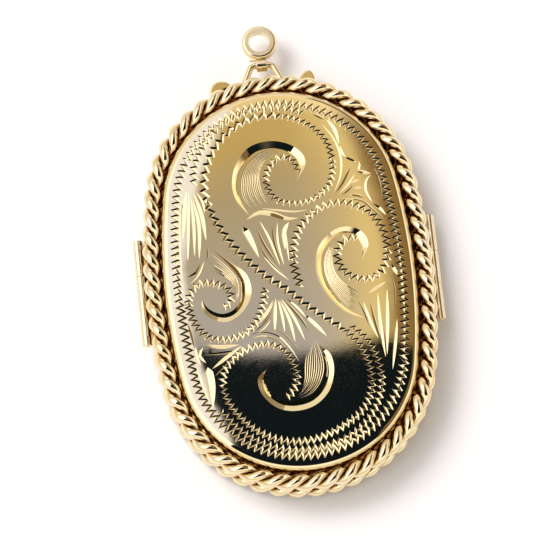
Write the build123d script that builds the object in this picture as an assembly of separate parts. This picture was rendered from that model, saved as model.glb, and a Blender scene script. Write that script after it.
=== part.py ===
"""Oval three-leaf photograph locket with a twisted-wire border on each cover.

The locket lies on its back. Its origin is the centre of the flat back face, +Z points out of the
front face, +Y points to the bail and +X is to the right of somebody who looks at the front.

From the back upwards it is a back cover, a thin middle leaf and a front cover. The front cover
turns on a hinge along the left edge and the middle leaf turns on a hinge along the right edge, so
the three leaves unfold like a screen and show four photograph places. The two covers are the same
pressed shell, turned half a turn about the Y direction.

Everything oval is made of four tangent arcs, so each outline is an exact offset of the flat face.
An "out" value is how far an outline lies outside the flat face, and is negative inside it.
"""

from build123d import *
from math import atan2, cos, degrees, sin
import os

# Flat part of a cover's face
FACE_HALF_WIDTH = 11.0
FACE_HALF_LENGTH = 17.5
FACE_END_RADIUS = 10.4

# Pressed cover, measured up from its parting plane
COVER_HEIGHT = 1.9
EDGE_ROUND = 0.55
CAVITY_OUT = 0.2
CAVITY_DEPTH = 1.55
FLANGE_OUT = 1.45
FLANGE_HEIGHT = 0.35

# Twisted wire round each cover
ROPE_RADIUS = 0.71
ROPE_OUT = 1.63
ROPE_LIFT = 0.75

# Middle leaf, which lies between the covers with a small gap on both sides
LEAF_THICKNESS = 0.8
LEAF_OUT = 1.75
LEAF_RECESS_OUT = -1.0
LEAF_WEB = 0.1
PARTING_GAP = 0.05

# Photograph places: a card, a clear window over it and a frame that holds both
CARD_THICKNESS = 0.15
WINDOW_THICKNESS = 0.13
LEAF_CARD_THICKNESS = 0.17
LEAF_WINDOW_THICKNESS = 0.15
WINDOW_GAP = 0.02
COVER_FRAME_DEPTH = 0.75
COVER_FRAME_OUT = 0.17
COVER_FRAME_IN = -1.5
LEAF_FRAME_HEIGHT = 0.35
LEAF_FRAME_OUT = 0.12
LEAF_FRAME_IN = -1.9
FRAME_CHAMFER = 0.15
LOOSE_FIT = 0.04

# Hinges
TUBE_RADIUS = 0.45
PIN_RADIUS = 0.22
PIN_CLEARANCE = 0.03
PIN_OVERHANG = 0.06
COVER_KNUCKLE_LENGTH = 3.05
LEAF_KNUCKLE_LENGTH = 3.4
KNUCKLE_GAP = 0.06
HINGE_BEYOND_ROPE = 0.18
HINGE_Y = 0.3
WEB_CLEARANCE = 0.08
COVER_WEB_LIFT = 0.36
COVER_WEB_REACH = 0.5
COVER_WEB_BELOW_ROPE = 0.28
LEAF_WEB_DROP = 0.38
PIN_CHAMFER = 0.05

# Thumb tab on each cover: distance along the rope from the middle of the top, half-width, and
# how far the tab stands out from the rope
FRONT_TAB = (4.3, 1.25, 0.85)
BACK_TAB = (3.5, 0.95, 1.45)
TAB_BOTTOM = 0.1
TAB_THICKNESS = 0.45
TAB_ROUND = 0.16

# Bail: an arch of wire on the leaf, and a ring that swings on it
BAIL_X = -0.35
BAIL_WIRE_RADIUS = 0.3
BAIL_FOOT_X = 2.1
BAIL_FOOT_Y = 18.9
BAIL_BAR_X = 1.0
BAIL_BAR_Y = 21.35
BAIL_BEND = 0.5
COLLAR_RADIUS = 0.6
COLLAR_CLEARANCE = 0.05
COLLAR_LENGTH = 1.0
COLLAR_ROUND = 0.08
TAIL_RADIUS = 0.08
TAIL_LENGTH = 0.6
RING_OUTER_RADIUS = 1.65
RING_HOLE_RADIUS = 1.0
RING_DEPTH = 1.0
RING_REACH = 2.2
RING_ROUND = 0.3

# Worked out from the sizes above
END_CENTRE = FACE_HALF_LENGTH - FACE_END_RADIUS
SIDE_RADIUS = (FACE_HALF_WIDTH**2 + END_CENTRE**2 - FACE_END_RADIUS**2) / (
    2 * (FACE_HALF_WIDTH - FACE_END_RADIUS)
)
SIDE_CENTRE = SIDE_RADIUS - FACE_HALF_WIDTH
LEAF_BOTTOM = COVER_HEIGHT + PARTING_GAP
LEAF_TOP = LEAF_BOTTOM + LEAF_THICKNESS
FRONT_BOTTOM = LEAF_TOP + PARTING_GAP
MIDDLE_Z = LEAF_BOTTOM + LEAF_THICKNESS / 2
HINGE_X = FACE_HALF_WIDTH + ROPE_OUT + ROPE_RADIUS + HINGE_BEYOND_ROPE
HINGE_LIFT = -PARTING_GAP / 2
HINGE_LENGTH = COVER_KNUCKLE_LENGTH + 2 * LEAF_KNUCKLE_LENGTH + 2 * KNUCKLE_GAP


def oval_wire(out, z=0.0):
    """Closed outline of four tangent arcs at height z."""
    side = SIDE_RADIUS + out
    end = FACE_END_RADIUS + out
    join = atan2(END_CENTRE, SIDE_CENTRE)
    join_x, join_y = end * cos(join), END_CENTRE + end * sin(join)
    half_width, half_length = side - SIDE_CENTRE, END_CENTRE + end
    return Wire(
        [
            ThreePointArc((join_x, -join_y, z), (half_width, 0, z), (join_x, join_y, z)),
            ThreePointArc((join_x, join_y, z), (0, half_length, z), (-join_x, join_y, z)),
            ThreePointArc((-join_x, join_y, z), (-half_width, 0, z), (-join_x, -join_y, z)),
            ThreePointArc((-join_x, -join_y, z), (0, -half_length, z), (join_x, -join_y, z)),
        ]
    )


def slab(out, low, high):
    """Oval plate between two heights."""
    return Pos(0, 0, low) * extrude(Face(oval_wire(out)), high - low)


def frame(out, inside, low, high, chamfered):
    """Oval frame with a sloping inner edge on its visible side, which is low or high."""
    ring = slab(out, low, high) - slab(inside, low, high)
    level = high if chamfered == "high" else low
    rims = ring.faces().filter_by(Plane.XY).sort_by(lambda f: abs(f.center().Z - level))[0]
    return chamfer(rims.inner_wires()[0].edges(), FRAME_CHAMFER)


def tube_along_y(x, z, radius, start, length):
    """Cylinder along Y from y = start."""
    return Pos(x, start, z) * Rot(X=-90) * Cylinder(
        radius, length, align=(Align.CENTER, Align.CENTER, Align.MIN)
    )


def rope():
    """Solid envelope of the twisted wire, in cover coordinates."""
    path = oval_wire(ROPE_OUT, ROPE_LIFT)
    section = Plane(path @ 0, z_dir=path % 0) * Circle(ROPE_RADIUS)
    return sweep(section, path=path)


def cover_shell():
    """Pressed shell with a rounded edge, a hollow for the photograph and a seat for the rope."""
    body = slab(EDGE_ROUND, 0, COVER_HEIGHT)
    body = fillet(body.faces().sort_by(Axis.Z)[-1].edges(), EDGE_ROUND - 0.01)
    seat = slab(FLANGE_OUT, 0, FLANGE_HEIGHT) - rope()
    return body + seat - slab(CAVITY_OUT, 0, CAVITY_DEPTH)


def cover_card():
    """Blank card behind the cover's window."""
    return slab(CAVITY_OUT - LOOSE_FIT, CAVITY_DEPTH - CARD_THICKNESS, CAVITY_DEPTH)


def cover_window():
    """Clear window just under the card."""
    top = CAVITY_DEPTH - CARD_THICKNESS - WINDOW_GAP
    return slab(CAVITY_OUT - LOOSE_FIT, top - WINDOW_THICKNESS, top)


def cover_frame():
    """Frame that holds the window and the card in the cover."""
    top = CAVITY_DEPTH - CARD_THICKNESS - WINDOW_GAP - WINDOW_THICKNESS
    return frame(COVER_FRAME_OUT, COVER_FRAME_IN, top - COVER_FRAME_DEPTH, top, "low")


def knuckle(start, length, web_points, pin_hole):
    """One tube of the left hinge, with the web that joins it to its cover or leaf."""
    web = Plane.XZ * make_face(Polyline(*web_points, close=True))
    web = Pos(0, start + length, 0) * extrude(web, length)
    tube = tube_along_y(-HINGE_X, HINGE_LIFT, TUBE_RADIUS, start, length)
    return tube + web - tube_along_y(-HINGE_X, HINGE_LIFT, pin_hole, start - 1, length + 2)


def cover_knuckle():
    """Middle tube of the left hinge, soldered to the cover's rope."""
    tube_side = -HINGE_X + PIN_RADIUS
    rope_x = -(FACE_HALF_WIDTH + ROPE_OUT)
    low = HINGE_LIFT + WEB_CLEARANCE
    high = ROPE_LIFT - COVER_WEB_BELOW_ROPE
    web = [
        (rope_x, low),
        (tube_side, low),
        (tube_side, HINGE_LIFT + COVER_WEB_LIFT),
        (rope_x - COVER_WEB_REACH, high),
        (rope_x, high),
    ]
    start = HINGE_Y - COVER_KNUCKLE_LENGTH / 2
    return knuckle(start, COVER_KNUCKLE_LENGTH, web, PIN_RADIUS + PIN_CLEARANCE) - rope()


def leaf_knuckles():
    """Two outer tubes of the left hinge, soldered to the edge of the leaf."""
    tube_side = -HINGE_X + PIN_RADIUS
    edge_x = -(FACE_HALF_WIDTH + LEAF_OUT) + TUBE_RADIUS
    high = HINGE_LIFT - WEB_CLEARANCE
    low = HINGE_LIFT - LEAF_WEB_DROP
    web = [(edge_x, high), (tube_side, high), (tube_side, low), (edge_x, low)]
    leaf_edge = slab(LEAF_OUT, -LEAF_THICKNESS, 0)
    tubes = []
    for start in (HINGE_Y - HINGE_LENGTH / 2, HINGE_Y + HINGE_LENGTH / 2 - LEAF_KNUCKLE_LENGTH):
        tube = knuckle(start, LEAF_KNUCKLE_LENGTH, web, PIN_RADIUS) - leaf_edge
        tubes.append(tube.solid())
    return Compound(tubes)


def hinge_pin():
    """Pin of the left hinge, a little longer than the tubes."""
    length = HINGE_LENGTH + 2 * PIN_OVERHANG
    pin = tube_along_y(-HINGE_X, HINGE_LIFT, PIN_RADIUS, HINGE_Y - length / 2, length)
    return chamfer(pin.edges().filter_by(GeomType.CIRCLE), PIN_CHAMFER)


def thumb_tab(along, half_width, reach):
    """Small round-ended tab that stands out from the rope, left of the bail."""
    rope_radius = FACE_END_RADIUS + ROPE_OUT
    turn = degrees(along / rope_radius)
    place = Pos(0, END_CENTRE, TAB_BOTTOM) * Rot(Z=turn) * Pos(0, rope_radius, 0)
    plate = extrude(Ellipse(half_width, ROPE_RADIUS + reach), TAB_THICKNESS)
    plate = fillet(plate.edges(), TAB_ROUND)
    outside = slab(ROPE_OUT + 3, 0, 1) - slab(ROPE_OUT, 0, 1)
    return (place * plate & outside) - rope()


def middle_leaf():
    """Thin double-sided leaf with a photograph recess in both faces."""
    recess = (LEAF_THICKNESS - LEAF_WEB) / 2
    return (
        slab(LEAF_OUT, LEAF_BOTTOM, LEAF_TOP)
        - slab(LEAF_RECESS_OUT, LEAF_TOP - recess, LEAF_TOP)
        - slab(LEAF_RECESS_OUT, LEAF_BOTTOM, LEAF_BOTTOM + recess)
    )


def leaf_card():
    """Blank card in the leaf's front recess."""
    low = MIDDLE_Z + LEAF_WEB / 2
    return slab(LEAF_RECESS_OUT - LOOSE_FIT, low, low + LEAF_CARD_THICKNESS)


def leaf_window():
    """Clear window just over the leaf's front card."""
    low = MIDDLE_Z + LEAF_WEB / 2 + LEAF_CARD_THICKNESS + WINDOW_GAP
    return slab(LEAF_RECESS_OUT - LOOSE_FIT, low, low + LEAF_WINDOW_THICKNESS)


def leaf_frame():
    """Raised frame on the leaf's front, over which the front cover snaps shut."""
    return frame(LEAF_FRAME_OUT, LEAF_FRAME_IN, LEAF_TOP, LEAF_TOP + LEAF_FRAME_HEIGHT, "high")


def on_bail(shape):
    """From the middle of the bail's straight bar to its place on the leaf."""
    return Pos(BAIL_X, BAIL_BAR_Y, MIDDLE_Z) * shape


def bail_arch():
    """Arch of round wire that stands on the leaf's top edge."""
    foot_y = BAIL_FOOT_Y - BAIL_BAR_Y
    corners = [(-BAIL_FOOT_X, foot_y), (-BAIL_BAR_X, 0), (BAIL_BAR_X, 0), (BAIL_FOOT_X, foot_y)]
    path = FilletPolyline(*corners, radius=BAIL_BEND)
    section = Plane(path @ 0, z_dir=path % 0) * Circle(BAIL_WIRE_RADIUS)
    return on_bail(sweep(section, path=path)) - slab(LEAF_OUT, LEAF_BOTTOM, LEAF_TOP)


def bail_collar():
    """Sleeve that turns on the straight bar, with the short end of its wire left over."""
    sleeve = Rot(Y=90) * Cylinder(COLLAR_RADIUS, COLLAR_LENGTH)
    sleeve = fillet(sleeve.edges().filter_by(GeomType.CIRCLE), COLLAR_ROUND)
    tail_y = COLLAR_RADIUS - TAIL_RADIUS
    tail = Pos(-COLLAR_LENGTH / 2, tail_y, 0) * Rot(Y=-90) * Cylinder(
        TAIL_RADIUS, 2 * TAIL_LENGTH
    )
    hole = Rot(Y=90) * Cylinder(BAIL_WIRE_RADIUS + COLLAR_CLEARANCE, 2 * COLLAR_LENGTH)
    return on_bail(sleeve + tail - hole)


def bail_ring():
    """Short D-section ring that the chain or a jump ring goes through."""
    ring = Cylinder(RING_OUTER_RADIUS, RING_DEPTH)
    ring = fillet(ring.edges().filter_by(GeomType.CIRCLE), RING_ROUND)
    ring = ring - Cylinder(RING_HOLE_RADIUS, 2 * RING_DEPTH)
    seat = Rot(Y=90) * Cylinder(COLLAR_RADIUS, 2 * COLLAR_LENGTH)
    return on_bail(Pos(0, RING_REACH, 0) * ring - seat)


def on_front(shape):
    """From cover coordinates to the front cover's place."""
    return Pos(0, 0, FRONT_BOTTOM) * shape


def turned_over(shape):
    """The same piece on the back of the locket: half a turn about Y through the middle leaf."""
    return Pos(0, 0, MIDDLE_Z) * Rot(Y=180) * Pos(0, 0, -MIDDLE_Z) * shape


def build():
    """Every node of the locket by name."""
    cover_pieces = {
        "shell": cover_shell(),
        "rope_border": rope(),
        "hinge_knuckle": cover_knuckle(),
        "photo_card": cover_card(),
        "photo_window": cover_window(),
        "photo_frame": cover_frame(),
    }
    leaf_side_pieces = {
        "card": leaf_card(),
        "window": leaf_window(),
        "frame": leaf_frame(),
    }
    hinge_pieces = {"leaf_knuckles": leaf_knuckles(), "hinge_pin": hinge_pin()}
    nodes = {
        "middle_leaf": middle_leaf(),
        "bail_arch": bail_arch(),
        "bail_collar": bail_collar(),
        "bail_ring": bail_ring(),
        "front_thumb_tab": on_front(thumb_tab(*FRONT_TAB)),
        "back_thumb_tab": turned_over(on_front(thumb_tab(*BACK_TAB))),
    }
    for name, piece in cover_pieces.items():
        nodes[f"front_{name}"] = on_front(piece)
        nodes[f"back_{name}"] = turned_over(on_front(piece))
    for name, piece in leaf_side_pieces.items():
        nodes[f"leaf_front_{name}"] = piece
        nodes[f"leaf_back_{name}"] = turned_over(piece)
    for name, piece in hinge_pieces.items():
        nodes[f"left_{name}"] = on_front(piece)
        nodes[f"right_{name}"] = turned_over(on_front(piece))
    return nodes


os.makedirs("parts", exist_ok=True)
for node_name, node_shape in build().items():
    export_step(node_shape, f"parts/{node_name}.step")
print("hinge axes at x", HINGE_X, "z", FRONT_BOTTOM + HINGE_LIFT, COVER_HEIGHT - HINGE_LIFT)
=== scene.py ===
"""Looks of the oval family locket: engraved cover, twisted-wire borders, gold, windows and cards."""

from math import atan2, ceil, cos, pi, radians, sin, tan

import bpy
from mathutils import Euler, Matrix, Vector
from mathutils.geometry import delaunay_2d_cdt


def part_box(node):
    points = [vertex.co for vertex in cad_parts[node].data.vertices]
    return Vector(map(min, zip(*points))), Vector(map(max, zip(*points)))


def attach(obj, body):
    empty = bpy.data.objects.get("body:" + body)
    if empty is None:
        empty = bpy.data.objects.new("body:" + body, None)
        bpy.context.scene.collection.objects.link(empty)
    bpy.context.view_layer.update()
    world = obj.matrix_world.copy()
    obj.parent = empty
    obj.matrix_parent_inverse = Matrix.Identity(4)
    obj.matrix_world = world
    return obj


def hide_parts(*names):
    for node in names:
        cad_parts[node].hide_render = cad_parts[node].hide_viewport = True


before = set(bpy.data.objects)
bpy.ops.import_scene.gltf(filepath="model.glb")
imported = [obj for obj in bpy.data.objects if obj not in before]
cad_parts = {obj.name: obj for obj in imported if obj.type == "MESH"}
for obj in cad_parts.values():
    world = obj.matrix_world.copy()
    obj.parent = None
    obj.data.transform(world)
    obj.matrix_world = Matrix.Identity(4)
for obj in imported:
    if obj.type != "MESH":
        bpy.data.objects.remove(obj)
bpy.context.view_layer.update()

# All sizes are millimetres until a mesh is made
MM = 0.001

# The oval is four tangent arcs; "out" is a distance outside the flat part of the face
HALF_WIDTH = 11.0
HALF_LENGTH = 17.5
END_RADIUS = 10.4
END_CENTRE = HALF_LENGTH - END_RADIUS
SIDE_RADIUS = (HALF_WIDTH**2 + END_CENTRE**2 - END_RADIUS**2) / (2 * (HALF_WIDTH - END_RADIUS))
SIDE_CENTRE = SIDE_RADIUS - HALF_WIDTH
OVAL_POINTS = 360

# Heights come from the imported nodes
PARTING_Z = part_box("front_shell")[0][2] / MM
TOP_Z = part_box("front_shell")[1][2] / MM
MIDDLE_Z = (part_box("middle_leaf")[0][2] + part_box("middle_leaf")[1][2]) / 2 / MM
COVER_HEIGHT = TOP_Z - PARTING_Z

# Cover section
DOME_DROP = 0.1
BEVEL_WIDTH = 0.55
BEVEL_STEPS = 18
BEVEL_START = radians(18)
FOOT_ROUND = 0.04
FLANGE_OUT = 1.3
FLANGE_HEIGHT = 0.3
LIP_WIDTH = 0.05
LIP_HEIGHT = 0.12
LIP_ROUND = 0.03
CAVITY_OUT = 0.2
CAVITY_DEPTH = 1.55
# Rings below the bevel that get the deeper amber gold: painted shade under the twisted wire, with
# solder's grain
SHADED_SOLDER_RINGS = 4

# Twisted wire
ROPE_OUT = 1.49
ROPE_LIFT = 0.87
WIRE_RADIUS = 0.43
HELIX_RADIUS = 0.405
TWISTS = 30
WIRE_SIDES = 14
WIRE_STEPS = 900

# Engraving: slope is depth over half-width, and step is the distance between points along a cut
ROW_STEP = 0.2
WRIGGLE_SLOPE = 0.3
WRIGGLE_LEAN = 0.3
WRIGGLE_SLANT = 0.1
WRIGGLE_INSIDE = 1.2
BORDER_IN = 0.78
BORDER_POINTS = 400
CRESCENT_STEP = 0.25
CRESCENT_SLOPE = 0.36
CRESCENT_DEEPEST = 0.86
HATCH_STEP = 0.6
HATCH_SLOPE = 0.38
HATCH_HALF_WIDTH = 0.065
HATCH_MARGIN = 0.03
HATCH_STAGGER = 0.05
BLADE_STEP = 0.45
BLADE_SWELL = 0.8
LEAF_SLOPE = 0.36
LEAF_LEAN = 0.5
FINE_STROKE = 0.15
GRAVER_RUN = (-0.8, 0.6)

# Points between the cuts, so that the domed face has no long triangles
FILL_SPACING = 0.8
FILL_MARGIN = 0.7
MERGE_DISTANCE = 1e-5


# ---------------------------------------------------------------- curves

def oval_arcs():
    """Centre, radius and angles of the four arcs, counter-clockwise from the lower right join."""
    join = atan2(END_CENTRE, SIDE_CENTRE)
    return [
        ((-SIDE_CENTRE, 0.0), SIDE_RADIUS, -join, join),
        ((0.0, END_CENTRE), END_RADIUS, join, pi - join),
        ((SIDE_CENTRE, 0.0), SIDE_RADIUS, pi - join, pi + join),
        ((0.0, -END_CENTRE), END_RADIUS, pi + join, 2 * pi - join),
    ]


def oval(count, out=0.0):
    """Evenly spaced (point, outward normal) pairs round the oval at a distance out."""
    arcs = oval_arcs()
    lengths = [(radius + out) * (stop - start) for _, radius, start, stop in arcs]
    step = sum(lengths) / count
    pairs = []
    for i in range(count):
        along = i * step
        for (centre, radius, start, _), length in zip(arcs, lengths):
            if along <= length + 1e-9:
                break
            along -= length
        angle = start + along / (radius + out)
        normal = Vector((cos(angle), sin(angle)))
        pairs.append((Vector(centre) + normal * (radius + out), normal))
    return pairs


def length_of(line):
    """Length of a polyline."""
    return sum((b - a).length for a, b in zip(line, line[1:]))


def resample(line, step):
    """The same polyline with evenly spaced points about one step apart."""
    total = length_of(line)
    count = max(2, round(total / step))
    spaced = []
    walked = 0.0
    k = 0
    for i in range(count + 1):
        target = total * i / count
        while k < len(line) - 2 and walked + (line[k + 1] - line[k]).length < target:
            walked += (line[k + 1] - line[k]).length
            k += 1
        run = (line[k + 1] - line[k]).length
        spaced.append(line[k].lerp(line[k + 1], min(1.0, (target - walked) / max(run, 1e-9))))
    return spaced


def spline(points, step):
    """Evenly stepped points on a smooth curve through given ones."""
    p = [Vector(q) for q in points]
    p = [2 * p[0] - p[1]] + p + [2 * p[-1] - p[-2]]
    dense = []
    for a, b, c, d in zip(p, p[1:], p[2:], p[3:]):
        pieces = max(4, ceil((c - b).length / 0.1))
        for k in range(pieces):
            t = k / pieces
            dense.append(
                0.5 * (2 * b + (c - a) * t + (2 * a - 5 * b + 4 * c - d) * t * t
                       + (3 * b - a - 3 * c + d) * t**3)
            )
    dense.append(p[-2])
    return resample(dense, step)


def paired_splines(first, second, step):
    """Two smooth curves with the same number of points, as the sides of one shape."""
    a = spline(first, step)
    b = spline(second, step)
    return a, resample(b, length_of(b) / (len(a) - 1))


def left_normals(line):
    """Unit normals to the left of a polyline."""
    normals = []
    last = len(line) - 1
    for i in range(len(line)):
        run = line[min(i + 1, last)] - line[max(i - 1, 0)]
        normals.append(Vector((-run.y, run.x)).normalized())
    return normals


# ---------------------------------------------------------------- engraving cuts
# A cut is (middle, left, right, depth): its deepest line, its two edges and its depths.

def blade(points, half_width, slope, lean=0.0, blunt=0.0):
    """A tapered V cut along a smooth line. lean moves the deepest line to one side, and blunt
    keeps the first end wide."""
    middle = spline(points, BLADE_STEP)
    normals = left_normals(middle)
    last = len(middle) - 1
    cut = ([], [], [], [])
    for i, (point, normal) in enumerate(zip(middle, normals)):
        at_end = i in (0, last)
        swell = 0.0 if at_end else sin(pi * (blunt + (1 - blunt) * (i / last))) ** BLADE_SWELL
        width = half_width * swell
        cut[0].append(point + normal * (lean * width))
        cut[1].append(point + normal * width)
        cut[2].append(point - normal * width)
        cut[3].append(slope * width)
    return cut


def crescent(outer, inner):
    """A bright cut between two edges: one wide facet that falls towards the inner edge."""
    cut = ([], [], [], [])
    for p, q in zip(*paired_splines(outer, inner, CRESCENT_STEP)):
        cut[0].append(p.lerp(q, CRESCENT_DEEPEST))
        cut[1].append(p)
        cut[2].append(q)
        cut[3].append(CRESCENT_SLOPE * (q - p).length)
    cut[3][0] = 0.0
    cut[3][-1] = 0.0
    return cut


def wriggle_turns(line, pitch, half_band):
    """The turns of a zigzag about a line, each pushed a little along it to slant the strokes."""
    line = resample(line, pitch / 2)
    turns = []
    for i, (point, normal) in enumerate(zip(line, left_normals(line))):
        side = 1 if i % 2 else -1
        along = Vector((normal.y, -normal.x))
        turns.append(point + normal * (side * half_band) + along * (side * pitch * WRIGGLE_SLANT))
    return turns


def wriggle(line, pitch, half_band, tip, waist):
    """A zigzag row, as a rocked graver leaves it, with wider pits at the turns. The graver leans
    away from the bail, so the facet on the bail's side of each stroke is the wider one."""
    turns = wriggle_turns(line, pitch, half_band)
    cut = ([], [], [], [])

    def add(middle, left, right, half_width):
        middle = middle + Vector((0, -WRIGGLE_LEAN * half_width))
        for part, value in zip(cut, (middle, left, right, WRIGGLE_SLOPE * half_width)):
            part.append(value)

    for i, point in enumerate(turns):
        if i in (0, len(turns) - 1):
            add(point, point, point, 0.0)
        else:
            inward = (turns[i - 1] - point).normalized() + (turns[i + 1] - point).normalized()
            inward.normalize()
            turns_left = (point - turns[i - 1]).cross(turns[i + 1] - point) > 0
            inside = point + inward * tip * WRIGGLE_INSIDE
            outside = point - inward * tip
            left, right = (inside, outside) if turns_left else (outside, inside)
            add(point, left, right, tip)
        if i < len(turns) - 1:
            run = (turns[i + 1] - point).normalized()
            normal = Vector((-run.y, run.x))
            halfway = point.lerp(turns[i + 1], 0.5)
            add(halfway, halfway + normal * waist, halfway - normal * waist, waist)
    return cut


def hatch(outer, inner, count):
    """Fine cuts that fill the space between two smooth lines, with their ends staggered."""
    a, b = paired_splines(outer, inner, HATCH_STEP)
    cuts = []
    for k in range(count):
        share = (k + 0.5) / count
        line = [p.lerp(q, share) for p, q in zip(a, b)]
        skip = round((HATCH_MARGIN + HATCH_STAGGER * (k % 3)) * len(line))
        cuts.append(blade(line[skip:len(line) - skip], HATCH_HALF_WIDTH, HATCH_SLOPE))
    return cuts


# ---------------------------------------------------------------- the design

HEAD_INNER = [(1.9, 10.0), (1.3, 11.2), (0.2, 11.45), (-0.9, 10.5), (-1.2, 9.0), (-0.5, 7.5),
              (1.2, 6.9), (3.0, 7.2), (4.5, 8.4), (5.05, 10.4), (4.6, 12.8), (2.9, 14.6),
              (0.8, 15.5)]
HEAD_OUTER = [(0.8, 15.5), (-1.2, 15.6), (-3.2, 15.0), (-5.1, 13.6), (-6.4, 11.6), (-6.95, 9.2),
              (-6.6, 7.0), (-5.5, 4.5), (-4.0, 2.3), (-2.2, 0.3), (-0.3, -1.3), (1.5, -3.1),
              (3.3, -4.6), (4.4, -5.5)]
FOOT_OUTER = [(4.4, -5.5), (5.5, -6.8), (6.2, -8.4), (6.4, -10.2), (5.9, -12.1), (4.6, -13.6),
              (2.4, -14.8), (0.0, -15.4), (-2.6, -15.0), (-5.0, -13.5), (-6.7, -11.2), (-7.1, -9.2),
              (-6.4, -7.6), (-4.6, -6.4), (-2.6, -6.1), (-1.2, -6.9), (-0.4, -8.5), (-0.5, -10.1),
              (-1.4, -11.3)]
FOOT_SECOND = [(5.0, -5.2), (6.3, -6.5), (7.1, -8.3), (7.25, -10.4), (6.6, -12.6), (5.1, -14.5),
               (3.0, -15.65), (0.6, -16.15), (-1.8, -16.0), (-4.0, -15.2), (-6.0, -13.7), (-7.5, -11.8)]
TOP_MIDDLE = [(-7.8, 9.6), (-7.6, 11.4), (-6.7, 13.1), (-5.2, 14.8), (-3.3, 15.8), (-1.2, 16.3),
              (0.9, 16.2), (2.9, 15.6)]
LEFT_SCROLL = [(-6.3, -2.4), (-5.5, -1.6), (-5.8, -0.5), (-7.0, 0.1), (-8.4, 0.1), (-9.3, -0.9),
               (-9.4, -2.4), (-8.8, -4.0), (-7.6, -5.1), (-6.0, -5.3), (-4.4, -4.8), (-3.3, -3.6),
               (-2.6, -2.0), (-2.4, -0.8)]
RIGHT_SCROLL = [(6.6, 3.1), (5.3, 3.0), (4.6, 2.0), (4.6, 0.7), (5.4, -0.4), (6.8, -0.95),
                (8.2, -0.5), (9.0, 0.9), (9.15, 2.8), (8.4, 4.8), (6.9, 6.1), (4.9, 6.6),
                (3.0, 6.0), (1.5, 4.7), (0.7, 2.9), (0.5, 0.9), (0.9, -1.1)]


def wriggle_rows():
    """Border row and the rows that outline the scrolls. Each has its pitch, half its band's width
    and the half-widths of its cuts at the turns and between them."""
    border = [point for point, _ in oval(BORDER_POINTS, -BORDER_IN)]
    border.append(border[0])
    rows = [(border, 0.62, 0.34, 0.18, 0.125)]
    for points, *sizes in (
        (HEAD_INNER, 0.54, 0.23, 0.15, 0.11),
        (HEAD_OUTER, 0.84, 0.26, 0.21, 0.17),
        (TOP_MIDDLE, 0.64, 0.3, 0.17, 0.125),
        (FOOT_OUTER, 0.56, 0.3, 0.13, 0.12),
        (FOOT_SECOND, 0.6, 0.26, 0.15, 0.12),
        (LEFT_SCROLL, 0.54, 0.29, 0.155, 0.115),
        (RIGHT_SCROLL, 0.62, 0.3, 0.17, 0.125),
    ):
        rows.append((spline(points, ROW_STEP), *sizes))
    return [wriggle(*row) for row in rows]


def crescents():
    """The four polished bright cuts inside the scrolls."""
    return [
        crescent(
            [(-3.1, 6.2), (-4.1, 7.7), (-4.35, 9.4), (-3.8, 11.2), (-2.5, 12.7), (-0.6, 13.15),
             (1.2, 12.7), (2.4, 11.6), (2.5, 10.4), (1.5, 9.0)],
            [(-3.1, 6.2), (-3.75, 7.8), (-3.95, 9.3), (-3.3, 10.9), (-2.1, 12.1), (-0.6, 12.45),
             (0.8, 12.1), (1.75, 11.3), (1.95, 10.4), (1.5, 9.0)]),
        crescent(
            [(-6.9, 3.5), (-5.3, 2.0), (-4.0, 0.8), (-3.6, -0.6), (-3.9, -1.9), (-4.9, -3.1),
             (-6.2, -3.65), (-7.5, -3.2), (-8.2, -2.3), (-8.2, -1.3)],
            [(-6.9, 3.5), (-5.5, 1.8), (-4.6, 0.4), (-4.5, -0.7), (-4.7, -1.7), (-5.3, -2.5),
             (-6.2, -2.85), (-7.0, -2.7), (-7.8, -2.1), (-8.2, -1.3)]),
        crescent(
            [(6.4, -4.6), (4.7, -3.8), (3.3, -2.2), (2.5, -0.2), (2.6, 1.8), (3.4, 3.2), (4.8, 4.15),
             (6.2, 4.15), (7.2, 3.4), (7.45, 2.2), (6.6, 0.8)],
            [(6.4, -4.6), (4.9, -3.5), (3.7, -1.9), (3.05, -0.2), (3.05, 1.5), (3.8, 2.8),
             (4.9, 3.6), (6.0, 3.6), (6.6, 3.0), (6.85, 2.2), (6.6, 0.8)]),
        crescent(
            [(2.0, -6.7), (2.9, -7.6), (3.05, -9.2), (2.4, -11.0), (1.0, -12.2), (-0.8, -12.55),
             (-2.4, -12.1), (-3.6, -10.8), (-3.9, -9.3), (-3.0, -8.4)],
            [(2.0, -6.7), (2.35, -7.8), (2.4, -9.2), (1.8, -10.5), (0.7, -11.4), (-0.7, -11.65),
             (-2.0, -11.4), (-3.0, -10.5), (-3.3, -9.5), (-3.0, -8.4)]),
    ]


def hatched_fields():
    """Fine lines between each bright cut and the row round the scroll's eye."""
    return (
        hatch([(0.5, 12.25), (-1.2, 12.2), (-2.9, 11.0), (-3.6, 9.3), (-3.5, 7.8), (-2.8, 6.8)],
              [(0.0, 11.95), (-1.1, 11.3), (-1.75, 10.2), (-1.8, 9.0), (-1.5, 7.9), (-1.0, 7.1)], 11)
        + hatch([(-6.9, 3.0), (-5.6, 1.6), (-4.85, 0.4), (-4.75, -0.7), (-4.95, -1.6), (-5.6, -2.4)],
                [(-7.6, 1.7), (-6.7, 1.1), (-5.6, 0.3), (-5.1, -0.6), (-5.05, -1.4), (-5.4, -2.0)], 6)
        + hatch([(5.6, 3.5), (4.3, 3.0), (3.35, 1.7), (3.15, 0.3), (3.5, -1.2), (4.6, -3.0), (6.0, -4.2)],
                [(4.6, 2.9), (4.15, 2.2), (4.0, 1.2), (4.1, 0.2), (4.6, -0.8), (5.5, -1.6),
                 (6.6, -2.3)], 10)
        + hatch([(1.7, -6.1), (2.15, -7.6), (2.2, -8.9), (1.7, -10.2), (0.8, -11.1), (-0.3, -11.4)],
                [(1.3, -6.5), (0.6, -7.6), (0.35, -8.7), (0.3, -9.6), (0.05, -10.4),
                 (-0.5, -11.0)], 9)
    )


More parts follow.
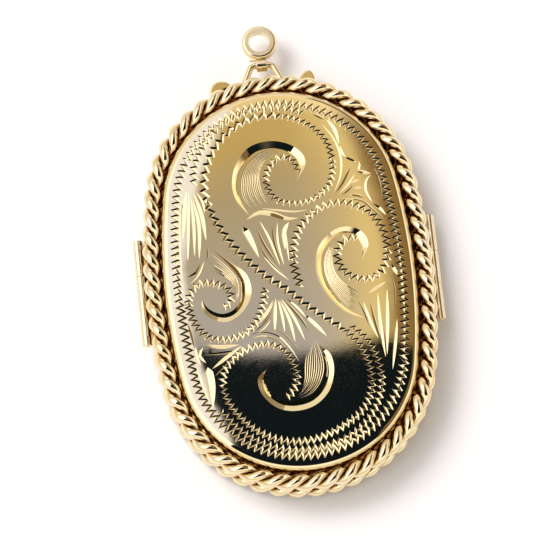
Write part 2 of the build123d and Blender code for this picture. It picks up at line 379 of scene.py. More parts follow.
# Each leaf is a list of blades: half-width, the points of one smooth stroke and, for some, how
# blunt the first end is
UPPER_LEFT_LEAF = [
    (0.1, [(-8.75, 8.9), (-9.5, 6.2), (-9.75, 3.4), (-9.8, 0.4)]),
    (0.24, [(-8.6, 9.2), (-9.05, 7.0), (-9.35, 4.6)]),
    (0.17, [(-8.4, 9.0), (-8.75, 6.0), (-9.1, 2.4)]),
    (0.17, [(-8.25, 8.6), (-8.25, 6.0), (-8.45, 2.8)]),
    (0.19, [(-8.1, 8.4), (-7.8, 5.6), (-8.05, 2.5)]),
    (0.22, [(-7.95, 8.9), (-7.45, 6.6), (-7.25, 4.2)]),
    (0.12, [(-7.7, 8.9), (-7.25, 8.0), (-7.1, 6.8)]),
    (0.14, [(-8.0, 2.1), (-8.45, 1.25), (-9.35, 0.9)]),
    (0.07, [(-7.6, 2.3), (-8.3, 0.95), (-9.2, 0.2)]),
    (0.08, [(-7.25, 3.7), (-7.2, 2.9), (-7.5, 2.2)]),
]
CENTRE_LEAF = [
    (0.32, [(-3.75, 5.2), (-3.2, 3.8), (-2.6, 2.1)], 0.4),
    (0.12, [(-2.55, 4.9), (-1.95, 3.2), (-1.0, 1.3)]),
    (0.12, [(-2.2, 5.6), (-1.5, 3.8), (-0.75, 1.1)]),
    (0.11, [(-1.1, 5.2), (-1.05, 3.4), (-0.6, 1.2)]),
    (0.11, [(-0.6, 5.3), (-0.75, 3.4), (-0.4, 1.1)]),
    (0.22, [(0.45, 5.2), (-0.1, 4.3), (-0.15, 2.6)], 0.1),
    (0.08, [(0.1, 4.2), (0.05, 2.8), (0.1, 1.4)]),
    (0.1, [(-2.5, 3.4), (-1.7, 1.7), (-0.4, 0.1)]),
    (0.09, [(-2.2, 2.2), (-1.2, 0.8), (-0.1, -0.3)]),
    (0.24, [(-3.4, 5.8), (-2.2, 6.35), (-0.9, 6.1), (0.3, 5.55), (1.4, 5.5)]),
    (0.09, [(-1.9, 6.75), (-0.5, 6.45), (1.0, 6.15), (2.4, 6.2)]),
]
LOWER_CENTRE_LEAF = [
    (0.18, [(-1.5, -1.9), (-1.75, -3.5), (-1.9, -5.0)]),
    (0.14, [(-1.3, -2.0), (-1.1, -3.6), (-1.0, -5.2)]),
    (0.16, [(-1.15, -2.1), (-0.5, -4.0), (-0.15, -6.2)]),
    (0.15, [(-1.0, -2.0), (0.0, -4.0), (0.75, -6.1)]),
    (0.13, [(-0.8, -2.0), (0.5, -3.9), (1.3, -5.4)]),
    (0.12, [(-0.55, -2.0), (0.4, -3.0), (1.2, -4.2)]),
    (0.2, [(0.75, -3.5), (1.8, -4.7), (2.75, -5.9)]),
    (0.08, [(-1.7, -2.0), (-2.4, -3.0), (-3.6, -4.4)]),
    (0.07, [(-1.8, -2.6), (-2.4, -3.5), (-3.2, -4.6)]),
]
PLUME = [
    (0.07, [(-1.7, -2.2), (-2.5, -3.4), (-3.9, -4.5)]),
    (0.07, [(-1.9, -3.0), (-2.6, -4.0), (-3.8, -4.9)]),
    (0.06, [(-2.1, -3.8), (-2.7, -4.5), (-3.6, -5.1)]),
    (0.07, [(-4.3, -5.1), (-3.0, -4.95), (-1.6, -5.5), (-0.6, -6.8), (0.0, -8.0)]),
    (0.07, [(-4.1, -5.4), (-2.9, -5.3), (-1.7, -5.9), (-0.9, -6.9)]),
    (0.06, [(-2.3, -4.7), (-1.3, -5.1), (-0.4, -6.2), (0.1, -7.2)]),
    (0.19, [(-5.2, -5.9), (-6.8, -5.95), (-8.4, -5.6)]),
    (0.12, [(-5.4, -6.4), (-7.0, -6.5), (-8.6, -6.5)]),
    (0.17, [(-5.0, -6.0), (-6.4, -6.9), (-7.9, -7.9)]),
    (0.1, [(-5.9, -7.0), (-6.9, -7.8), (-7.7, -8.6)]),
    (0.15, [(-8.5, -5.8), (-8.95, -6.5), (-8.4, -7.3)]),
    (0.4, [(-8.3, -7.7), (-8.15, -9.4), (-8.2, -11.5)], 0.3),
    (0.12, [(-9.3, -7.6), (-8.95, -9.2), (-8.5, -10.9)]),
    (0.13, [(-9.7, -3.3), (-9.45, -4.6), (-9.3, -5.9)]),
    (0.15, [(-9.2, -5.7), (-9.2, -6.6), (-8.9, -7.5)]),
]
UPPER_RIGHT_LEAF = [
    (0.2, [(5.0, 14.7), (5.6, 13.6), (5.85, 12.2)], 0.1),
    (0.13, [(5.9, 12.1), (6.05, 11.3), (6.4, 10.8)]),
    (0.13, [(6.1, 11.0), (6.6, 10.7), (7.3, 10.3)]),
    (0.11, [(4.5, 14.3), (5.4, 12.8), (5.85, 11.0), (5.65, 9.2), (4.9, 7.6)]),
    (0.15, [(3.7, 15.4), (4.2, 15.15), (4.8, 14.7)]),
    (0.11, [(7.5, 10.4), (7.5, 9.9), (7.2, 9.3)]),
    (0.19, [(7.1, 9.5), (7.7, 9.3), (8.5, 9.1)]),
    (0.13, [(8.5, 9.0), (7.95, 8.5), (7.8, 7.5), (8.3, 6.3)]),
    (0.15, [(6.5, 8.35), (6.9, 8.5), (7.4, 8.6)]),
    (0.14, [(6.7, 7.8), (7.1, 7.85), (7.6, 7.8)]),
    (0.13, [(5.0, 7.5), (5.8, 8.4), (6.7, 9.9)]),
    (0.11, [(5.3, 7.4), (6.2, 8.2), (7.0, 9.2)]),
    (0.1, [(5.6, 7.3), (6.3, 7.7), (6.7, 8.2)]),
    (0.14, [(6.2, 7.2), (6.9, 7.2), (7.6, 6.8)]),
    (0.15, [(8.3, 6.2), (8.9, 5.7), (9.4, 5.0)]),
    (0.09, [(5.6, 6.95), (7.3, 6.6), (8.3, 5.6), (9.3, 4.5)]),
    (0.1, [(8.8, 9.7), (9.15, 8.3), (9.2, 6.4)]),
]
LOWER_RIGHT_LEAF = [
    (0.2, [(9.3, 0.3), (9.55, -0.2), (9.8, -0.8)]),
    (0.07, [(9.2, -0.4), (9.4, -2.2), (9.1, -4.4)]),
    (0.14, [(8.7, -1.3), (7.8, -1.8), (6.9, -2.3)]),
    (0.18, [(8.7, -2.0), (8.4, -4.8), (8.0, -8.2)]),
    (0.17, [(7.8, -2.3), (7.7, -5.0), (7.85, -8.4)]),
    (0.14, [(7.0, -3.0), (7.3, -5.2), (7.75, -7.6)]),
    (0.14, [(6.4, -3.0), (6.8, -4.8), (7.4, -6.6)]),
    (0.1, [(5.9, -2.7), (6.4, -4.0), (6.7, -5.4)]),
    (0.15, [(9.3, -4.9), (8.9, -7.0), (8.35, -9.6)]),
]
LEAVES = (UPPER_LEFT_LEAF + CENTRE_LEAF + LOWER_CENTRE_LEAF + PLUME + UPPER_RIGHT_LEAF
          + LOWER_RIGHT_LEAF)


def leaf_blades():
    """Single strokes of the leaves. A broad stroke has its wide facet on the lower right, as the
    graver leans, and fine ones lean each way in turn."""
    cuts = []
    for i, (half_width, points, *blunt) in enumerate(LEAVES):
        run = Vector(points[-1]) - Vector(points[0])
        side = 1 if run.cross(Vector(GRAVER_RUN)) > 0 else -1
        if half_width < FINE_STROKE and i % 2:
            side = -side
        cuts.append(blade(points, half_width, LEAF_SLOPE, LEAF_LEAN * side, sum(blunt)))
    return cuts


# ---------------------------------------------------------------- engraved surface

def triangles_of(cut):
    """The triangles, with heights, that make up one cut."""
    middle, left, right, depth = cut
    for edge in (left, right):
        for i in range(len(middle) - 1):
            a = (*middle[i], -depth[i])
            b = (*middle[i + 1], -depth[i + 1])
            c = (*edge[i + 1], 0.0)
            d = (*edge[i], 0.0)
            yield a, b, c
            yield a, c, d


class CutField:
    """Looks up the depth of the engraving at a point."""

    CELL = 0.4

    def __init__(self, cuts):
        self.cells = {}
        for cut in cuts:
            for triangle in triangles_of(cut):
                self.add(triangle)

    def add(self, triangle):
        """Files a triangle under every cell that its box touches."""
        xs = [p[0] for p in triangle]
        ys = [p[1] for p in triangle]
        for i in range(int(min(xs) // self.CELL), int(max(xs) // self.CELL) + 1):
            for j in range(int(min(ys) // self.CELL), int(max(ys) // self.CELL) + 1):
                self.cells.setdefault((i, j), []).append(triangle)

    def depth(self, x, y):
        """Lowest height of any cut over a point, or None outside all cuts."""
        lowest = None
        for a, b, c in self.cells.get((int(x // self.CELL), int(y // self.CELL)), ()):
            area = (b[0] - a[0]) * (c[1] - a[1]) - (b[1] - a[1]) * (c[0] - a[0])
            if abs(area) < 1e-9:
                continue
            v = ((x - a[0]) * (c[1] - a[1]) - (y - a[1]) * (c[0] - a[0])) / area
            w = ((b[0] - a[0]) * (y - a[1]) - (b[1] - a[1]) * (x - a[0])) / area
            if v < -1e-4 or w < -1e-4 or v + w > 1.0001:
                continue
            height = a[2] + v * (b[2] - a[2]) + w * (c[2] - a[2])
            if lowest is None or height < lowest:
                lowest = height
        return lowest


def dome(x, y):
    """How far the slightly cushioned face falls below its middle."""
    r2 = (x / HALF_WIDTH) ** 2 + (y / HALF_LENGTH) ** 2
    return DOME_DROP * (0.5 * r2 + 0.5 * r2**3)


def fill_points(field):
    """A staggered grid of points on the uncut parts of the face."""
    columns = int(HALF_WIDTH / FILL_SPACING) + 1
    rows = int(HALF_LENGTH / FILL_SPACING) + 1
    spots = []
    for i in range(-columns, columns + 1):
        for j in range(-rows, rows + 1):
            spot = Vector(((i + 0.5 * (j % 2)) * FILL_SPACING, j * FILL_SPACING))
            across = spot.x / (HALF_WIDTH - FILL_MARGIN)
            along = spot.y / (HALF_LENGTH - FILL_MARGIN)
            if across**2 + along**2 < 1 and field.depth(spot.x, spot.y) is None:
                spots.append(spot)
    return spots


def engraved_face(cuts, boundary):
    """Triangulated top of a cover with every cut as real geometry, and the numbers of the
    vertices along its boundary."""
    points = [p.copy() for p in boundary]
    count = len(points)
    edges = [(i, (i + 1) % count) for i in range(count)]
    for middle, left, right, _ in cuts:
        for line in (middle, left, right):
            start = len(points)
            points.extend(line)
            edges.extend((start + i, start + i + 1) for i in range(len(line) - 1))
    field = CutField(cuts)
    points += fill_points(field)
    flat, _, faces, origin, _, _ = delaunay_2d_cdt(points, edges, [], 0, MERGE_DISTANCE)
    vertices = []
    for x, y in flat:
        height = field.depth(x, y) or 0.0
        vertices.append((x, y, height - dome(x, y)))
    rim = [0] * count
    for new, olds in enumerate(origin):
        for old in olds:
            if old < count:
                rim[old] = new
    return vertices, [list(f) for f in faces], rim


# ---------------------------------------------------------------- meshes

def make_object(name, vertices, faces, sharp=radians(5)):
    """A smooth-shaded object in metres, with its real corners kept sharp."""
    mesh = bpy.data.meshes.new(name)
    mesh.from_pydata([(x * MM, y * MM, z * MM) for x, y, z in vertices], [], faces)
    mesh.validate()
    mesh.update()
    mesh.shade_smooth()
    mesh.set_sharp_from_angle(angle=sharp)
    obj = bpy.data.objects.new(name, mesh)
    bpy.context.scene.collection.objects.link(obj)
    return obj


def turn_over(vertices):
    """Half a turn about Y through the middle leaf, from the front of the locket to its back."""
    return [(-x, y, 2 * MIDDLE_Z - z) for x, y, z in vertices]


def cover_rings():
    """(out, height) of each ring of a cover below its face, from the bevel round to the cavity."""
    rings = []
    for k in range(1, BEVEL_STEPS + 1):
        angle = BEVEL_START + (pi / 2 - BEVEL_START) * k / BEVEL_STEPS
        out = BEVEL_WIDTH * (sin(angle) - sin(BEVEL_START)) / (1 - sin(BEVEL_START))
        drop = BEVEL_WIDTH * (cos(BEVEL_START) - cos(angle)) / cos(BEVEL_START)
        rings.append((out, COVER_HEIGHT - DOME_DROP - drop))
    rings += [
        (BEVEL_WIDTH, FLANGE_HEIGHT + FOOT_ROUND),
        (BEVEL_WIDTH + FOOT_ROUND, FLANGE_HEIGHT),
        (FLANGE_OUT - LIP_WIDTH, LIP_HEIGHT),
        (FLANGE_OUT, LIP_ROUND),
        (FLANGE_OUT - LIP_ROUND, 0.0),
        (CAVITY_OUT + FOOT_ROUND, 0.0),
        (CAVITY_OUT, FOOT_ROUND),
        (CAVITY_OUT, CAVITY_DEPTH),
    ]
    return rings


def cover(name, body, node, cuts, on_back, polished, solder_and_shade):
    """A whole cover: face, bevel, wall, flange and cavity in one closed mesh. The wall and the top of the
    flange get a deeper amber gold with solder's grain: the colour is painted shade, as they lie in the
    twisted wire's shade."""
    pairs = oval(OVAL_POINTS)
    vertices, faces, rim = engraved_face(cuts, [p for p, _ in pairs])
    vertices = [(x, y, TOP_Z + z) for x, y, z in vertices]
    previous = rim
    count = len(rim)
    wall_start = len(faces) + BEVEL_STEPS * count
    wall_stop = wall_start + SHADED_SOLDER_RINGS * count
    for k, (out, height) in enumerate(cover_rings()):
        start = len(vertices)
        follow = max(0.0, 1 - (k + 1) / BEVEL_STEPS)
        for point, normal in pairs:
            spot = point + normal * out
            lift = follow * (DOME_DROP - dome(point.x, point.y))
            vertices.append((spot.x, spot.y, PARTING_Z + height + lift))
        ring = list(range(start, start + count))
        for i in range(count):
            j = (i + 1) % count
            faces.append([previous[i], ring[i], ring[j], previous[j]])
        previous = ring
    faces.append(previous)
    if on_back:
        vertices = turn_over(vertices)
    piece = make_object(name, vertices, faces)
    paint(piece, polished)
    # Deeper amber on the wall and flange top: painted shade, with solder's grain
    piece.data.materials.append(solder_and_shade)
    for face in list(piece.data.polygons)[wall_start:wall_stop]:
        face.material_index = 1
    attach(piece, body)
    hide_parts(node)


def strand(pairs, first_angle):
    """Centres of one wire of the twist, and the directions to them from the twist's own middle."""
    up = Vector((0, 0, 1))
    centres = []
    radials = []
    for i, (point, normal) in enumerate(pairs):
        angle = first_angle + 2 * pi * TWISTS * i / len(pairs)
        radial = Vector((normal.x, normal.y, 0)) * cos(angle) + up * sin(angle)
        centre = Vector((point.x, point.y, PARTING_Z + ROPE_LIFT)) + radial * HELIX_RADIUS
        centres.append(centre)
        radials.append(radial)
    return centres, radials


def closed_wire(centres, radials, base):
    """Vertices and faces of a round wire on a closed line; its first vertex is number base."""
    count = len(centres)
    vertices = []
    faces = []
    for i in range(count):
        run = (centres[(i + 1) % count] - centres[i - 1]).normalized()
        out = (radials[i] - run * radials[i].dot(run)).normalized()
        side = run.cross(out)
        for k in range(WIRE_SIDES):
            turn = 2 * pi * k / WIRE_SIDES
            spoke = (out * cos(turn) + side * sin(turn)) * WIRE_RADIUS
            vertices.append(tuple(centres[i] + spoke))
            here = base + i * WIRE_SIDES
            ahead = base + (i + 1) % count * WIRE_SIDES
            beside = (k + 1) % WIRE_SIDES
            faces.append([here + k, here + beside, ahead + beside, ahead + k])
    return vertices, faces


def twisted_wire(name, body, node, on_back, material):
    """Two round wires twisted together round the cover's edge."""
    pairs = oval(WIRE_STEPS, ROPE_OUT)
    vertices = []
    faces = []
    for first_angle in (0.0, pi):
        centres, radials = strand(pairs, first_angle)
        wire_vertices, wire_faces = closed_wire(centres, radials, len(vertices))
        vertices += wire_vertices
        faces += wire_faces
    if on_back:
        vertices = turn_over(vertices)
    piece = make_object(name, vertices, faces, sharp=radians(60))
    paint(piece, material)
    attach(piece, body)
    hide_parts(node)


# ---------------------------------------------------------------- nodes

def new_material(name):
    """A node material, its tree and its shader."""
    material = bpy.data.materials.new(name)
    material.use_nodes = True
    shader = material.node_tree.nodes["Principled BSDF"]
    return material, material.node_tree, shader


def node(tree, kind, **inputs):
    """A node with values set on its inputs by name."""
    made = tree.nodes.new(kind)
    for key, value in inputs.items():
        made.inputs[key.replace("_", " ")].default_value = value
    return made


def noise(tree, place, **inputs):
    """Noise at a place, from 0 to 1."""
    made = node(tree, "ShaderNodeTexNoise", **inputs)
    tree.links.new(place, made.inputs["Vector"])
    return made.outputs["Fac"]


def remap(tree, value, start, stop, low=0.0, high=1.0):
    """The value taken in proportion from start..stop to low..high, and held beyond them."""
    made = node(tree, "ShaderNodeMapRange", From_Min=start, From_Max=stop, To_Min=low, To_Max=high)
    tree.links.new(value, made.inputs["Value"])
    return made.outputs["Result"]


def ramp(tree, value, start, first, stop, second):
    """A colour that goes from first to second as the value goes from start to stop."""
    made = tree.nodes.new("ShaderNodeValToRGB")
    for element, position, colour in zip(made.color_ramp.elements, (start, stop), (first, second)):
        element.position = position
        element.color = (*colour, 1)
    tree.links.new(value, made.inputs["Fac"])
    return made.outputs["Color"]


def bump(tree, height, strength, distance, under=None):
    """A bumped normal, on top of another one if there is one."""
    made = node(tree, "ShaderNodeBump", Strength=strength, Distance=distance)
    tree.links.new(height, made.inputs["Height"])
    if under:
        tree.links.new(under, made.inputs["Normal"])
    return made.outputs["Normal"]


def blend(tree, share, a, b):
    """A colour mix, a where the share is 0 and b where it is 1; both are colours or sockets."""
    mix = tree.nodes.new("ShaderNodeMix")
    mix.data_type = "RGBA"
    tree.links.new(share, mix.inputs["Factor"])
    for name, value in (("A", a), ("B", b)):
        if isinstance(value, tuple):
            mix.inputs[name].default_value = (*value, 1)
        else:
            tree.links.new(value, mix.inputs[name])
    return mix.outputs["Result"]


def arithmetic(tree, operation, *values):
    """A maths node on sockets or numbers."""
    made = tree.nodes.new("ShaderNodeMath")
    made.operation = operation
    for socket, value in zip(made.inputs, values):
        if isinstance(value, (int, float)):
            socket.default_value = value
        else:
            tree.links.new(value, socket)
    return made.outputs[0]


# ---------------------------------------------------------------- materials

# Dark brown painted into crevices where ambient occlusion finds shade: painted shade that also stands for
# tarnish
SHADE_AND_TARNISH = (0.28, 0.12, 0.025)
# Share of open air round a point at which a crevice gets all of the painted shade and tarnish, and none
# of it
ALL_SHADED = 0.3
UNSHADED = 0.8
SCRATCH_ANGLE = radians(24)
SCRATCH_SCALE = (1500.0, 18000.0, 9000.0)
SCRATCH_STRENGTH = 0.006
SCRATCH_DEPTH = 0.02 * MM
WAVE_STRENGTH = 0.06
WAVE_DEPTH = 0.01 * MM
FIBRE_DEPTH = 0.03 * MM


def gold(name, pale, deep, roughness, grain=0.0, shade_and_tarnish_reach=0.0):
    """Polished gold: slight colour drift, smears in the polish and fine rubbed scratches. grain makes it
    uneven. The last argument is the reach in millimetres of a dark brown painted into its crevices by
    ambient occlusion: painted shade, which stands also for tarnish."""
    material, tree, shader = new_material(name)
    link = tree.links.new
    shader.inputs["Metallic"].default_value = 1.0
    place = tree.nodes.new("ShaderNodeTexCoord").outputs["Object"]

    drift = noise(tree, place, Scale=260.0, Detail=3.0, Roughness=0.5)
    colour = ramp(tree, drift, 0.35, deep, 0.65, pale)
    # Painted shade: crevices darkened to brown by ambient occlusion, standing also for tarnish
    if shade_and_tarnish_reach:
        crevice = node(tree, "ShaderNodeAmbientOcclusion", Distance=shade_and_tarnish_reach * MM)
        open_air = remap(tree, crevice.outputs["AO"], ALL_SHADED, UNSHADED)
        colour = blend(tree, open_air, SHADE_AND_TARNISH, colour)
    link(colour, shader.inputs["Base Color"])

    smear = noise(tree, place, Scale=900.0, Detail=6.0, Roughness=0.65)
    link(remap(tree, smear, 0.35, 0.75, roughness, roughness * 1.9), shader.inputs["Roughness"])

    stretch = node(tree, "ShaderNodeMapping", Rotation=(0, 0, SCRATCH_ANGLE), Scale=SCRATCH_SCALE)
    link(place, stretch.inputs["Vector"])
    scratches = noise(tree, stretch.outputs["Vector"], Scale=1.0, Detail=2.0, Roughness=0.6)
    waves = noise(tree, place, Scale=330.0, Detail=1.0)
    fine = bump(tree, scratches, SCRATCH_STRENGTH, SCRATCH_DEPTH)
    soft = bump(tree, waves, WAVE_STRENGTH + grain, WAVE_DEPTH, under=fine)
    link(soft, shader.inputs["Normal"])
    return material


def clear_window():
    """Thin clear plastic: see-through, with a slightly rubbed gloss."""
    material, tree, shader = new_material("clear_window_plastic")
    shader.inputs["Base Color"].default_value = (0.85, 0.85, 0.80, 1)
    shader.inputs["Alpha"].default_value = 0.14
    shader.inputs["IOR"].default_value = 1.49
    shader.inputs["Specular IOR Level"].default_value = 1.0
    place = tree.nodes.new("ShaderNodeTexCoord").outputs["Object"]
    rub = noise(tree, place, Scale=700.0, Detail=5.0)
    tree.links.new(remap(tree, rub, 0.0, 1.0, 0.03, 0.12), shader.inputs["Roughness"])
    return material


def blank_card():
    """Old cream card with paper fibres and a little foxing."""
    material, tree, shader = new_material("cream_card")
    link = tree.links.new
    place = tree.nodes.new("ShaderNodeTexCoord").outputs["Object"]
    fox = noise(tree, place, Scale=420.0, Detail=8.0, Roughness=0.7)
    colour = ramp(tree, fox, 0.3, (0.72, 0.62, 0.46), 0.62, (0.84, 0.78, 0.65))
    link(colour, shader.inputs["Base Color"])
    shader.inputs["Roughness"].default_value = 0.85
    fibre = noise(tree, place, Scale=9000.0, Detail=4.0)
    link(bump(tree, fibre, 0.4, FIBRE_DEPTH), shader.inputs["Normal"])
    return material


def paint(obj, material):
    """Makes this the object's only material."""
    obj.data.materials.clear()
    obj.data.materials.append(material)


# ---------------------------------------------------------------- stage, light and camera

TABLE_REACH = 1500.0


def stage():
    """Plain pale table top."""
    material, _, shader = new_material("pale_table")
    shader.inputs["Base Color"].default_value = (0.93, 0.91, 0.90, 1)
    shader.inputs["Roughness"].default_value = 0.9
    corners = [(TABLE_REACH * x, TABLE_REACH * y, 0) for x, y in ((-1, -1), (1, -1), (1, 1), (-1, 1))]
    floor = make_object("table_top", corners, [[0, 1, 2, 3]])
    paint(floor, material)


# The room that the gold mirrors. A direction is given by two leans from straight up, in degrees:
# across, to +X, and along, to +Y. Each border below is where one colour starts to give way to the
# next, and where it has done so.
COOL_PANEL = (0.46, 0.49, 0.68)
GREY_PANEL = (0.46, 0.43, 0.40)
TAN_PANEL = (0.60, 0.48, 0.24)
YELLOW_PANEL = (0.80, 0.70, 0.44)
BROWN_PANEL = (0.28, 0.19, 0.09)
COOL_TO_GREY_ALONG = (14.5, 17.5)
GREY_TO_TAN_ALONG = (17.0, 19.5)
PANEL_TO_YELLOW_ACROSS = (2.5, 5.5)
YELLOW_TO_BROWN_ACROSS = (5.4, 7.2)

NEAR_WALL = (1.3, 1.25, 1.2)
DARK_GAP = (0.006, 0.011, 0.02)
NEAR_WALL_TO_DARK_ALONG = (-40.0, -30.0)
DARK_TO_PANEL_ALONG = (14.1, 14.25)
DARK_EDGE_TURNS_ACROSS = 5.5
DARK_EDGE_SLANT = 0.3

BRIGHT_SKY = (1.5, 1.43, 1.3)
SOFT_SKY = (0.95, 0.90, 0.83)
PANEL_TO_SKY_ALONG = (20.0, 23.0)
BRIGHT_TO_SOFT_SKY_ALONG = (34.0, 46.0)

BROWN_DOOR = (0.22, 0.15, 0.08)
PANEL_TO_DOOR_ACROSS = (8.5, 14.0)
DOOR_SLANT = 0.8
RIGHT_WALL = (1.9, 1.8, 1.65)
DOOR_TO_WALL_ACROSS = (44.0, 56.0)

BRIGHT_PANE = (1.7, 1.72, 1.8)
BLUE_PANE = (0.98, 1.06, 1.5)
FAR_PANE = (1.0, 0.97, 0.92)
BRIGHT_TO_BLUE_PANE_ACROSS = (-14.0, -7.0)
PANE_TO_FAR_PANE_ALONG = (28.0, 42.0)
WINDOW_TO_ROOM_ACROSS = (-2.0, -1.3)
WINDOW_EDGE_LOW_ALONG = 8.0
WINDOW_EDGE_HIGH_ALONG = 16.5
WINDOW_EDGE_SLANT = 0.4

HORIZON = (0.8, 0.78, 0.74)
HORIZON_FROM_UP = 70
ROOM_FROM_UP = 52
LOWEST_Z = 0.02


def band(tree, value, border):
    """0 before a border and 1 after it, smoothly; the border is in degrees."""
    start, stop = border
    edge = node(tree, "ShaderNodeMapRange", From_Min=tan(radians(start)), From_Max=tan(radians(stop)))
    edge.interpolation_type = "SMOOTHSTEP"
    tree.links.new(value, edge.inputs["Value"])
    return edge.outputs["Result"]


def beyond(tree, value, limit):
    """How far a value is past a limit in degrees, and 0 before it."""
    past = arithmetic(tree, "SUBTRACT", value, tan(radians(limit)))
    return arithmetic(tree, "MAXIMUM", past, 0.0)


def ceiling(tree, across, along):
    """Overhead and far parts of the room: the panel, the dark gap this side of it and the sky."""
    panel = blend(tree, band(tree, along, COOL_TO_GREY_ALONG), COOL_PANEL, GREY_PANEL)
    panel = blend(tree, band(tree, along, GREY_TO_TAN_ALONG), panel, TAN_PANEL)
    panel = blend(tree, band(tree, across, PANEL_TO_YELLOW_ACROSS), panel, YELLOW_PANEL)
    panel = blend(tree, band(tree, across, YELLOW_TO_BROWN_ACROSS), panel, BROWN_PANEL)
    turned = beyond(tree, across, DARK_EDGE_TURNS_ACROSS)
    edge = arithmetic(tree, "MULTIPLY_ADD", turned, DARK_EDGE_SLANT, along)
    dark = blend(tree, band(tree, along, NEAR_WALL_TO_DARK_ALONG), NEAR_WALL, DARK_GAP)
    low = blend(tree, band(tree, edge, DARK_TO_PANEL_ALONG), dark, panel)
    sky = blend(tree, band(tree, along, BRIGHT_TO_SOFT_SKY_ALONG), BRIGHT_SKY, SOFT_SKY)
    return blend(tree, band(tree, along, PANEL_TO_SKY_ALONG), low, sky)


def studio():
    """A white room: a window wall on the left, a brown door and a warm wall on the right, and
    above the locket a dark gap in the ceiling with a tan panel beyond it."""
    world = bpy.data.worlds.new("studio")
    bpy.context.scene.world = world
    world.use_nodes = True
    tree = world.node_tree
    where = tree.nodes.new("ShaderNodeTexCoord")
    split = tree.nodes.new("ShaderNodeSeparateXYZ")
    tree.links.new(where.outputs["Generated"], split.inputs[0])
    height = arithmetic(tree, "MAXIMUM", split.outputs["Z"], LOWEST_Z)
    across = arithmetic(tree, "DIVIDE", split.outputs["X"], height)
    along = arithmetic(tree, "DIVIDE", split.outputs["Y"], height)

    rise = beyond(tree, along, WINDOW_EDGE_HIGH_ALONG)
    short = arithmetic(tree, "SUBTRACT", tan(radians(WINDOW_EDGE_LOW_ALONG)), along)
    fall = arithmetic(tree, "MAXIMUM", short, 0.0)
    wall = arithmetic(tree, "SUBTRACT", across, arithmetic(tree, "MULTIPLY", fall, DOOR_SLANT))
    room = ceiling(tree, across, along)
    room = blend(tree, band(tree, wall, PANEL_TO_DOOR_ACROSS), room, BROWN_DOOR)
    room = blend(tree, band(tree, across, DOOR_TO_WALL_ACROSS), room, RIGHT_WALL)

    pane = blend(tree, band(tree, across, BRIGHT_TO_BLUE_PANE_ACROSS), BRIGHT_PANE, BLUE_PANE)
    pane = blend(tree, band(tree, along, PANE_TO_FAR_PANE_ALONG), pane, FAR_PANE)
    lean = arithmetic(tree, "SUBTRACT", fall, arithmetic(tree, "MULTIPLY", rise, WINDOW_EDGE_SLANT))
    edge = arithmetic(tree, "ADD", across, lean)
    room = blend(tree, band(tree, edge, WINDOW_TO_ROOM_ACROSS), pane, room)

    up = remap(tree, split.outputs["Z"], cos(radians(HORIZON_FROM_UP)), cos(radians(ROOM_FROM_UP)))
    tree.links.new(blend(tree, up, HORIZON, room), tree.nodes["Background"].inputs["Color"])
    tree.nodes["Background"].inputs["Strength"].default_value = 1.0


SOFTBOX_SIZE = 260.0
SOFTBOX_POWER = 1.6
SOFTBOX_PLACE = (-260.0, 200.0, 420.0)


def softbox():
    """A large soft lamp to the upper left, for the table's shading. The gold doesn't mirror it."""
    data = bpy.data.lights.new("softbox", "AREA")
    data.shape = "SQUARE"
    data.size = SOFTBOX_SIZE * MM
    data.energy = SOFTBOX_POWER
    data.color = (1.0, 0.97, 0.95)
    lamp = bpy.data.objects.new("softbox", data)
    lamp.location = Vector(SOFTBOX_PLACE) * MM
    lamp.rotation_euler = Vector(SOFTBOX_PLACE).to_track_quat("Z", "Y").to_euler()
    lamp.visible_glossy = False
    bpy.context.scene.collection.objects.link(lamp)


CAMERA_TURN = (15.94, -0.60, -6.01)
CAMERA_DISTANCE = 317.8
CAMERA_AIM_RIGHT = -1.352
CAMERA_AIM_UP = 0.166
CAMERA_LENS = 228.1
SENSOR_WIDTH = 36.0


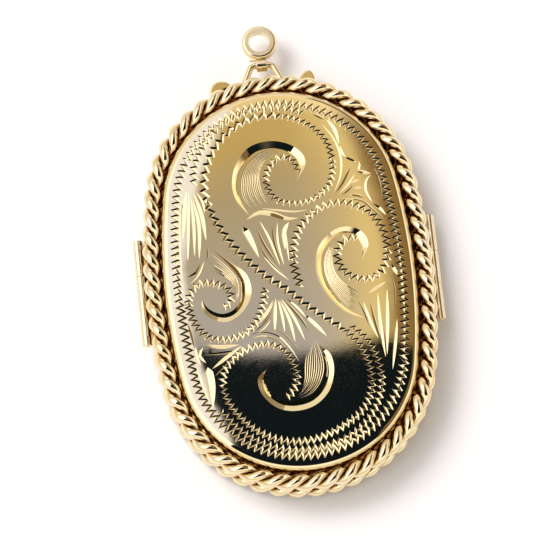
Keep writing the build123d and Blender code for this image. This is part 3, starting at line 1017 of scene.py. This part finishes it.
def camera():
    """The camera, from a little below the face's normal."""
    data = bpy.data.cameras.new("camera")
    data.sensor_width = SENSOR_WIDTH
    data.lens = CAMERA_LENS
    data.clip_start = 10.0 * MM
    obj = bpy.data.objects.new("camera", data)
    obj.rotation_euler = Euler([radians(a) for a in CAMERA_TURN])
    offset = Vector((CAMERA_AIM_RIGHT, CAMERA_AIM_UP, CAMERA_DISTANCE))
    offset.rotate(obj.rotation_euler)
    obj.location = (Vector((0, 0, TOP_Z)) + offset) * MM
    bpy.context.scene.collection.objects.link(obj)
    bpy.context.scene.camera = obj


# ---------------------------------------------------------------- assembly

def dress_nodes(materials):
    """Better materials on the CAD nodes that stay."""
    for name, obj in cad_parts.items():
        if name.endswith("_card"):
            paint(obj, materials["card"])
        elif name.endswith("_window"):
            paint(obj, materials["window"])
        elif name.endswith("_frame"):
            paint(obj, materials["frame"])
        elif name.startswith("bail"):
            paint(obj, materials["bail"])
        elif "knuckle" in name or "pin" in name:
            paint(obj, materials["hinge"])
        else:
            paint(obj, materials["shell"])


def build():
    """Every piece of the locket."""
    materials = {
        "shell": gold("polished_gold", (0.93, 0.76, 0.44), (0.90, 0.72, 0.40), 0.02),
        # Deeper, warmer gold for the wall in the wire's shade: painted shade, with solder's grain
        "shaded_solder": gold("solder_with_painted_shade_gold", (0.97, 0.70, 0.28), (0.82, 0.50, 0.15), 0.15, grain=2.0),
        # The rope's crevices get painted shade, standing also for tarnish
        "rope": gold("rope_gold", (0.95, 0.81, 0.55), (0.90, 0.73, 0.43), 0.04, shade_and_tarnish_reach=0.7),
        "bail": gold("bail_gold", (0.92, 0.78, 0.50), (0.86, 0.68, 0.40), 0.16, grain=0.3),
        "hinge": gold("hinge_gold", (0.94, 0.81, 0.55), (0.88, 0.73, 0.46), 0.12),
        "frame": gold("frame_gold", (0.94, 0.79, 0.52), (0.90, 0.74, 0.45), 0.2),
        "window": clear_window(),
        "card": blank_card(),
    }
    dress_nodes(materials)
    cuts = wriggle_rows() + crescents() + hatched_fields() + leaf_blades()
    golds = materials["shell"], materials["shaded_solder"]
    rope = materials["rope"]
    cover("engraved_front", "front_cover", "front_shell", cuts, False, *golds)
    cover("plain_back", "back_cover", "back_shell", [], True, *golds)
    twisted_wire("front_twist", "front_cover", "front_rope_border", False, rope)
    twisted_wire("back_twist", "back_cover", "back_rope_border", True, rope)


build()
stage()
studio()
softbox()
camera()
bpy.context.scene.view_settings.view_transform = "Standard"
